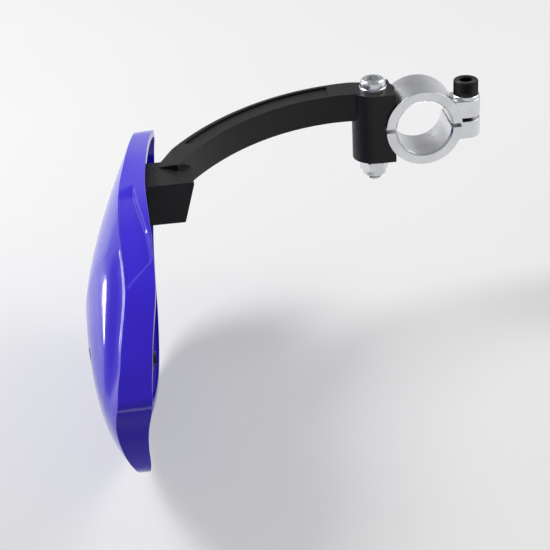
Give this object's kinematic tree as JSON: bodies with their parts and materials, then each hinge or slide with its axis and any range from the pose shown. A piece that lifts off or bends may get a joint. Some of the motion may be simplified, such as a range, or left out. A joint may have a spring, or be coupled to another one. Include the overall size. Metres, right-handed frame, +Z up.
{
  "type": "motorcycle hand guard",
  "caption": "Left motorcycle hand guard: a curved glossy shell on a bowed black arm, with a split aluminium clamp that grips the handlebar.",
  "frame": {"origin": "centre of the clamp's bore, on the handlebar's axis", "axes": "+X along the handlebar to its free end, +Y back to the rider, +Z up"},
  "size_m": [0.1856, 0.1643, 0.0902],
  "materials": {
    "blue_plastic": "gloss, deep blue violet",
    "black_plastic": "satin black, glass filled",
    "cast_aluminium": "polished",
    "zinc_steel": "bright zinc plate",
    "black_steel": "black oxide"
  },
  "bodies": {
    "root": {"shield": "blue_plastic", "arm": "black_plastic", "clamp_upper": "cast_aluminium", "clamp_lower": "cast_aluminium", "root_bolt": "zinc_steel", "root_washer_top": "zinc_steel", "root_washer_bottom": "zinc_steel", "root_nut": "zinc_steel", "bush_upper": "zinc_steel", "bush_lower": "zinc_steel", "clamp_bolt": "black_steel", "clamp_washer": "zinc_steel", "screw_upper": "black_steel", "screw_lower": "black_steel", "screw_outer": "black_steel", "washer_upper": "black_steel", "washer_lower": "black_steel", "washer_outer": "black_steel", "nut_upper": "black_steel", "nut_lower": "black_steel", "nut_outer": "black_steel"}
  },
  "joints": []
}
